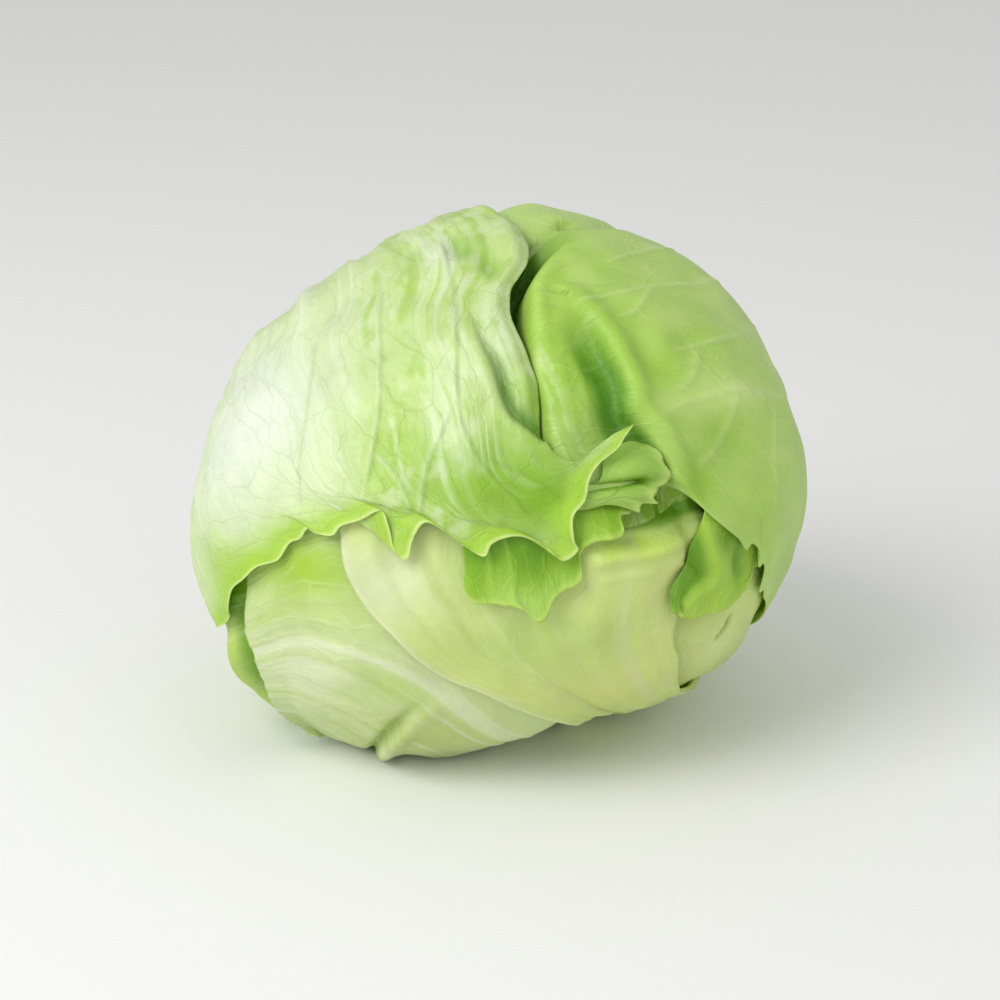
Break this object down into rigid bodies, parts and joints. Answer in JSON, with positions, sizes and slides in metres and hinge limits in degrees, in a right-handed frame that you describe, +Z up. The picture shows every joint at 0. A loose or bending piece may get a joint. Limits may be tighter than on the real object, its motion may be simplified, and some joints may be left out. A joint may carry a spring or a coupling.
{
  "type": "head of lettuce",
  "caption": "Round head of crisp lettuce lying on its side, ribbed wrapper leaves folded over one another round a packed heart, with a cut stem at the back.",
  "frame": {"origin": "middle of the head's footprint on the surface it lies on", "axes": "+Z up; -Y towards the crown where the leaves fold over, which also points up and a little to +X; +Y towards the cut stem; +X to the right as seen from the crown"},
  "size_m": [0.1682, 0.1524, 0.1413],
  "materials": {
    "wrapper_pale": "waxy satin leaf, ribbed and veined",
    "wrapper_green": "waxy satin leaf, ribbed and veined",
    "crown_green": "waxy satin leaf, ribbed and veined",
    "tongue_green": "waxy satin leaf, ribbed and veined",
    "leaf_cream": "waxy satin leaf, ribbed and veined",
    "leaf_white": "waxy satin leaf, ribbed and veined",
    "leaf_inner": "waxy satin leaf, ribbed and veined",
    "stem_flesh": "matt cut flesh, slightly browned"
  },
  "bodies": {
    "root": {"left_wrapper_leaf": "wrapper_pale", "right_wrapper_leaf": "wrapper_green", "crown_curl_leaf": "crown_green", "crown_tongue_leaf": "tongue_green", "right_under_leaf": "crown_green", "lower_pale_leaf": "leaf_cream", "lower_left_leaf": "leaf_white", "lower_right_leaf": "leaf_cream", "left_under_leaf": "wrapper_pale", "top_back_leaf": "wrapper_green", "inner_upper_leaf": "leaf_inner", "inner_lower_leaf": "leaf_inner", "heart": "leaf_inner", "stem_core": "stem_flesh"}
  },
  "joints": []
}
